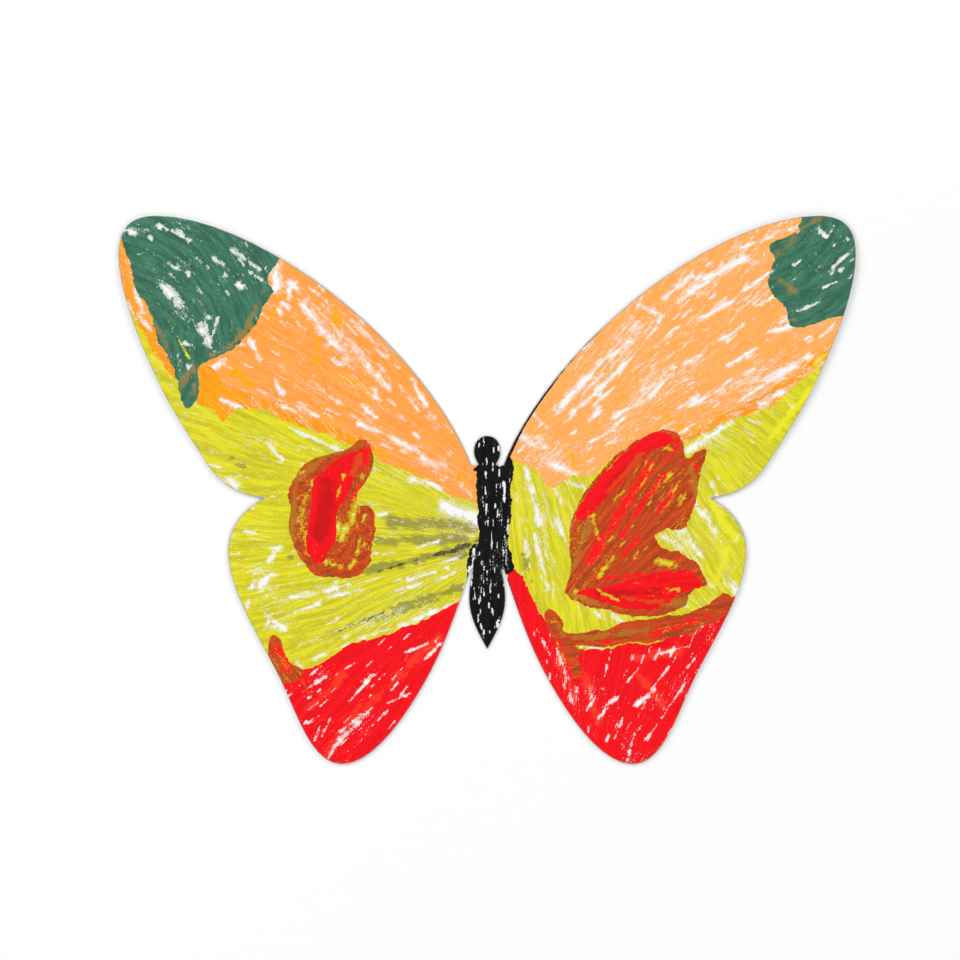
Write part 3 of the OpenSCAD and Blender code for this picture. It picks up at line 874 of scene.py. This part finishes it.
# %% [markdown]
# ## The right wing
#
# The other wing has the same colours in the same order, but not the same drawing. Its
# yellow strokes hang down from the front edge, its orange is paler and more flecked, and
# its spot is half as big again, with a hook at the bottom.

# %% Right wing: yellow
lay_wax("right_mid_yellow", leaf_right, lemon_wax,
        ((-10, 72), "rays"), press=0.87, tint=-0.1, overlap=0.5,
        bare=resized([
            (6, 5, 9.4, -8.6, 1.4), (8, -11, 11.4, -24.8, 1), (5.6, -12, 6.8, -19, 0.9),
            (13, -6.5, 16.4, -14, 0.9), (16, 2.2, 20.9, 0.2, 1.2), (56.6, 16.7, 46.2, 9.6, 1.7),
            (61.6, 17.5, 64, 16.5, 1), (44.6, -9.5, 49.1, -16.1, 1.5), (47.9, -2.4, 50.5, -7, 1),
            (50, -5, 54.5, -13.6, 1.1), (38.4, -10.3, 44.9, -14.9, 1.2), (55.8, -22.3, 59, -26.4, 1.4),
            (27.6, -31.4, 31.7, -34.7, 1), (43.3, -27.3, 48.3, -30.6, 1.1),
            (9.7, -21.5, 12.2, -24.8, 0.8), (7.3, -29, 13.5, -36.8, 0.9), (18, -12, 19.5, -20, 0.7),
            (20.5, -28, 26, -33, 0.8), (52, 2, 55, -4, 0.9), (12, 3, 14.5, -3, 0.8),
            (60, -9, 58, -13, 0.8), (18.4, -38.2, 28.4, -40.7, 1.1)], width=0.9),
        strewn=(110, (0, -42, 84, 34), 2.2, 0.42, 5),
        thin=[(40, -10, 54, -14, 7), (7, 2, 12, -25, 4), (22, -29, 34, -35, 3), (58, -20, 50, -30, 4),
              (14, 2, 22, 0, 3), (64, 17, 48, 10, 3), (18, -6, 20, -22, 2)],
        second=[(52, -2, 58, -12, 2.2), (56, -15, 53, -24, 2), (78, 26, 66, 12, 1.6)],
        third=[(5, -16, 8, -25, 1.2), (24, -12, 28, -16, 1)])

# %% Right wing: orange and amber
lay_wax("right_fore_orange", leaf_right, peach_wax,
        ((-20, -20), "rays"), press=0.78, tint=-0.15, uneven=0.22,
        bare=[(31.6, 37.3, 26.8, 33, 1.5), (33.3, 41.4, 32.7, 40.6, 2.6), (33.4, 46.7, 40, 43.5, 1.1),
              (40, 47.7, 47.4, 53.7, 1), (44.6, 47.7, 52, 52.5, 1.5), (51, 52.5, 60.6, 58.2, 1.7),
              (24.9, 32, 13.4, 19.7, 1.3), (30.7, 31.6, 15.8, 17.2, 1.1), (27.7, 25.6, 23.2, 21.4, 0.7),
              (24.9, 20, 21.4, 17.5, 0.9), (34.8, 22, 27.4, 18.3, 0.9), (41.8, 29, 36.5, 22.8, 1),
              (49.4, 33.7, 42.5, 30.2, 0.9), (48.8, 23.5, 44, 20.7, 1), (4.2, 13.7, 7.7, 11.2, 1.7),
              (8.8, 12.7, 10.5, 10.5, 1.3), (6.7, 20, 10.9, 15.8, 0.9), (11.8, 6.7, 18, 3.8, 2),
              (57, 59.4, 75, 66.3, 0.8), (65, 63, 72, 65, 1), (59.6, 53.4, 63.3, 56.5, 1),
              (60.6, 50, 66.4, 53.8, 1), (48.9, 42.5, 58.5, 48, 0.9), (64, 46.2, 68, 48.3, 0.9),
              (69.5, 42, 71.9, 43.8, 0.9), (66.4, 39.4, 72.2, 41, 0.9), (68.8, 28.7, 76.4, 33.5, 1.2),
              (58.5, 21.9, 68.5, 28.4, 0.8), (64.4, 21.5, 70.5, 25.7, 1.7), (46.9, 21.2, 55.1, 25.3, 1),
              (79.4, 38.3, 82.5, 41, 0.9), (20, 24, 25, 29, 0.7), (38, 36, 44, 41, 0.8),
              (52, 36, 60, 41, 0.8), (22, 12, 28, 15, 0.9), (56, 31, 62, 34.5, 0.7)],
        strewn=(200, (2, 5, 86, 68), 2.4, 0.42, 6),
        thin=[(30, 38, 62, 60, 5), (12, 18, 31, 34, 4), (46, 21, 74, 32, 3), (3, 14, 12, 12, 5),
              (10, 8, 30, 14, 4), (48, 43, 68, 50, 4), (66, 38, 74, 42, 4), (34, 22, 50, 34, 4)],
        second=[(31.9, 31.3, 43.8, 16.3, 0.9)] + resized([
            (42, 18.5, 42, 16.5, 2), (45, 15, 49, 12.5, 2.4), (5, 10.5, 5, 8, 2), (17, 9, 18, 5, 2),
            (58.2, 59.8, 66.4, 61.5, 1.4), (67, 51.5, 67.5, 46.5, 1.6), (75.3, 31.5, 81.9, 36.5, 1.3),
            (53, 19, 68.8, 22.4, 1)], width=1.3))

lay_wax("right_fore_amber", leaf_right, amber_wax,
        ((-20, -20), "rays"), press=0.72, tint=0.1, uneven=0.3,
        bare=[(64.4, 21, 70.5, 25.2, 1.3), (56.6, 17, 50, 13.2, 1.2)],
        third=[(60, 18, 66, 20, 1.2), (78, 32, 84, 36.5, 1.2)])

# %% Right wing: green and red
lay_wax("right_tip_green", leaf_right, green_wax, ((60, 75), "arcs"),
        press=0.96, tint=-0.25, uneven=0.14,
        bare=resized([
            (78.8, 65, 80.6, 63.2, 1), (82.5, 55.5, 87.7, 60.3, 0.9), (84, 54.8, 87.5, 57.5, 0.7),
            (73.6, 44.7, 78.8, 46.7, 0.7), (80, 50.5, 83.5, 52, 0.6), (72.5, 56, 74, 57, 0.6),
            (86, 63, 86.3, 62.6, 0.8)], width=0.8),
        strewn=(14, (66, 40, 92, 68), 1.4, 0.38, 7),
        thin=[(80, 55, 88, 60, 4), (73, 45, 80, 48, 2.5)],
        second=[(68, 58.5, 73, 62.5, 2.6), (74, 65, 79, 67.6, 1.8), (69.5, 52.5, 73.5, 49, 2),
                (72.5, 42.5, 78, 42.2, 1.6)])

lay_wax("right_hind_red", leaf_right, red_wax, ((10, -110), "rays"),
        press=1.0, tint=-0.05, uneven=0.2, overlap=0.0,
        bare=resized([
            (8.5, -34.6, 12.5, -42.2, 0.6), (15.3, -48.6, 18.1, -54.2, 0.8),
            (39.2, -40.8, 46.4, -39, 0.6), (26.3, -53.6, 29, -51.6, 1.2), (33.6, -53.4, 38, -49.8, 1.1),
            (45.6, -48.2, 36, -62.2, 0.8), (24, -57, 26.5, -54, 0.6), (28, -62, 30, -57, 0.6),
            (31.5, -66, 33, -61, 0.7), (21, -55, 23, -52, 0.5), (13.5, -39.4, 16.5, -47.4, 1),
            (43.6, -35.9, 51.6, -33.4, 0.6), (31, -48, 34, -44.5, 0.5), (37, -50, 41.5, -44, 0.5),
            (44, -47, 48, -42, 0.5)], width=0.8),
        strewn=(90, (2, -75, 56, -28), 1.8, 0.38, 8),
        thin=[(24, -52, 34, -66, 8), (38, -42, 50, -34, 4), (34, -54, 46, -48, 5),
              (12, -36, 18, -52, 3), (24, -48, 28, -54, 5)],
        second=[(20, -45, 24, -58, 2.4), (34, -46, 40, -54, 2.4), (14, -42, 18, -52, 1.6),
                (44, -40, 34, -42, 2)],
        third=[(47, -36, 54, -31, 1.6)])

# %% [markdown]
# The right spot is drawn in two crayons, rust first and red over it: an arc along the top,
# a diagonal through the middle, and a mass of strokes at the bottom. Yellow shows in
# slots between them.

# %% Right wing: the spot and the band
lay_wax("right_spot_rust", leaf_right, rust_wax, ((-10, -60), "rays"),
        layer=2, press=0.84, tint=-0.15, uneven=0.2, overlap=0.25,
        bare=[(22.4, -6, 24, -12.4, 0.9), (40, 1, 42, 4, 0.6)] + resized([
            (23.8, -21.9, 27.6, -16.9, 1), (38, -17.5, 43.3, -18.8, 2.2), (17.8, -25.2, 20, -26.4, 1.2),
            (39, 11.6, 43, 9.6, 1.1), (44, -4, 46, -1, 0.8), (35, -13, 33, -17, 1)], width=0.75),
        strewn=(40, (14, -30, 52, 15), 1.8, 0.38, 9),
        second=[(17, -20, 22, -8, 1.8), (27.6, -29, 46, -28, 2.2), (17, -26, 25, -29, 1.6),
                (47, 6, 49, -2, 1.4)],
        third=[(41, 7.5, 44.5, 13.5, 1.6), (36.7, 6, 21.8, -17.7, 3.4), (40, 4, 30, -11, 1.8),
               (46, 8, 50, 4, 1), (34, 9, 39, 12, 1.4), (34, -12, 30, -16, 1.6),
               (24, -22, 40, -21, 1.6), (44, 2, 38, -6, 1.2)])

lay_wax("right_spot_red", leaf_right, spot_red_wax, ((-30, -30), "rays"),
        layer=2, press=0.85, tint=-0.2, uneven=0.2, overlap=0.5,
        bare=[(24, -25, 29, -27.5, 0.7), (38, -24, 44, -25, 0.7), (30, 9.5, 26, 5, 0.5)],
        second=[(24, -26, 40, -25.5, 2), (36, 10, 26, 1, 1.4)],
        third=[(19, -27, 28, -29.5, 1.4), (42, -28.5, 48, -25, 1.4), (35, 9, 26, -0.5, 1.3),
               (30, -27, 40, -28, 1.2)])

lay_wax("right_hind_rust", leaf_right, rust_wax, ((-60, -45), "rays"),
        layer=2, press=0.9, tint=-0.1, uneven=0.18,
        second=[(18, -37, 36, -35, 1.6), (13, -32, 15, -36, 1.6)],
        third=[(38, -36, 51, -31.5, 1.6), (14, -38, 17, -46, 1.6), (22, -38, 30, -37.5, 1)],
        bare=[(18.5, -39, 27, -39.8, 0.8), (13.6, -38, 16.5, -46, 0.6)],
        strewn=(16, (12, -48, 54, -30), 1.8, 0.36, 11))

# %% [markdown]
# The black runs over the right crease onto the wing, and a black line follows the edge of
# the wing from the root, thinning out along it.

# %% Right wing: black root and edge line
lay_wax("right_root_black", leaf_right, black_wax, UP_AND_DOWN,
        inner=BODY_SIDE - 0.3, press=0.84, tint=-0.2, overlap=0.15,
        bare=[(1.6, -7, 1.5, -11, 0.5), (0.4, 2, 0.5, -3, 0.5), (1.9, 5, 2.1, 1, 0.5)])

lay_wax("right_edge_black", leaf_right, black_wax, UP_AND_DOWN,
        layer=2, press=0.9, tint=-0.3, uneven=0.1, overlap=0.1)

# %% [markdown]
# ## The body
#
# The body has the darkest wax: black, rubbed up and down, with bright flecks
# of card in columns where the crayon rode over the tooth. A strip along its left side
# was left for the colours of the wing.

# %% Black on the body
lay_wax("body_black", leaf_body, black_wax, UP_AND_DOWN, press=0.96,
        tint=-0.2, uneven=0.2, overlap=0.0,
        bare=resized([
            (-0.4, 5, -0.3, 2.5, 0.4), (-0.5, 1.2, -0.4, -1.4, 0.35), (-0.2, -3, -0.3, -6.8, 0.35),
            (2.3, 2, 2.4, -2, 0.4), (2.7, -4, 2.6, -8, 0.35), (-3.1, -13.5, -3.2, -17.5, 0.4),
            (-3.3, -24, -2.9, -28, 0.35), (-1.6, -33, -1.3, -35, 0.3), (2.7, 11.5, 3, 9.5, 0.45),
            (-1.8, 11.8, -2.3, 10.2, 0.4), (-0.7, 12.2, -1, 10.8, 0.3), (1.1, -13, 1.2, -15.5, 0.3),
            (0.6, -23, 0.8, -26, 0.3), (1.8, -19.5, 2, -21.5, 0.3), (-1.4, -17, -1.3, -19, 0.3),
            (-1.8, -26, -1.7, -28, 0.3)], length=0.7, width=0.7),
        strewn=(120, (-5, -38, 5, 19), 1.3, 0.22, 12))

# %% [markdown]
# ## Table, light and camera
#
# The butterfly lies on a plain pale table under soft light from both sides, so that each
# fleck and each ridge of wax reads but no shadow is hard. The camera looks straight down
# with the head of the butterfly at the top.

# %% Table
def table_finish():
    made = Finish("pale_table")
    cloud = made.noise(made.place_mm(), (0.004, 0.004, 0.004), 2.0, 0.5)
    made.put(made.shader.inputs["Base Color"], made.mix(cloud, (0.93, 0.93, 0.93), (0.95, 0.95, 0.95)))
    made.shader.inputs["Roughness"].default_value = 0.9
    made.shader.inputs["Specular IOR Level"].default_value = 0.1
    return made.material


TABLE_HALF = 4.5
TABLE_GAP = 0.00004
corners = [(x * TABLE_HALF, y * TABLE_HALF) for x, y in ((-1, -1), (1, -1), (1, 1), (-1, 1))]
table_mesh = bpy.data.meshes.new("table")
table_mesh.from_pydata([(x, y, cad_low.z - TABLE_GAP) for x, y in corners], [], [(0, 1, 2, 3)])
table_mesh.materials.append(table_finish())
table = bpy.data.objects.new("table", table_mesh)
bpy.context.scene.collection.objects.link(table)
print("the table is", 2 * TABLE_HALF, "m across")

# %% Lights
def soft_light(name, place, size, watts):
    data = bpy.data.lights.new(name, "AREA")
    data.shape = "SQUARE"
    data.size = size
    data.energy = watts
    light = bpy.data.objects.new(name, data)
    light.location = place
    light.rotation_euler = (-light.location).to_track_quat("-Z", "Y").to_euler()
    bpy.context.scene.collection.objects.link(light)
    return light


soft_light("window_left", (-0.9, 0.5, 0.9), 0.9, 10.2)
soft_light("window_right", (0.9, 0.6, 1.0), 0.9, 7.8)
soft_light("front_fill", (0.1, -1.0, 0.9), 0.9, 5.4)

world = bpy.data.worlds.new("studio")
world.use_nodes = True
world.node_tree.nodes["Background"].inputs["Color"].default_value = (1.0, 1.0, 1.0, 1.0)
world.node_tree.nodes["Background"].inputs["Strength"].default_value = 0.35
bpy.context.scene.world = world
bpy.context.scene.view_settings.view_transform = "Standard"

# %% Camera
VIEW_WIDTH = 0.24
LENS = 85.0
SENSOR = 36.0
VIEW_CENTRE = (-0.0018, 0.0025)

camera_data = bpy.data.cameras.new("camera")
camera_data.lens = LENS
camera_data.sensor_width = SENSOR
camera = bpy.data.objects.new("camera", camera_data)
camera.location = (*VIEW_CENTRE, VIEW_WIDTH * LENS / SENSOR)
bpy.context.scene.collection.objects.link(camera)
bpy.context.scene.camera = camera
print("the camera is", round(camera.location.z, 3), "m above the table")

# %% [markdown]
# ## Finish
#
# The lift of the card and the thickness of the wax make the butterfly a little higher
# than the frame, and nothing makes it wider or longer.
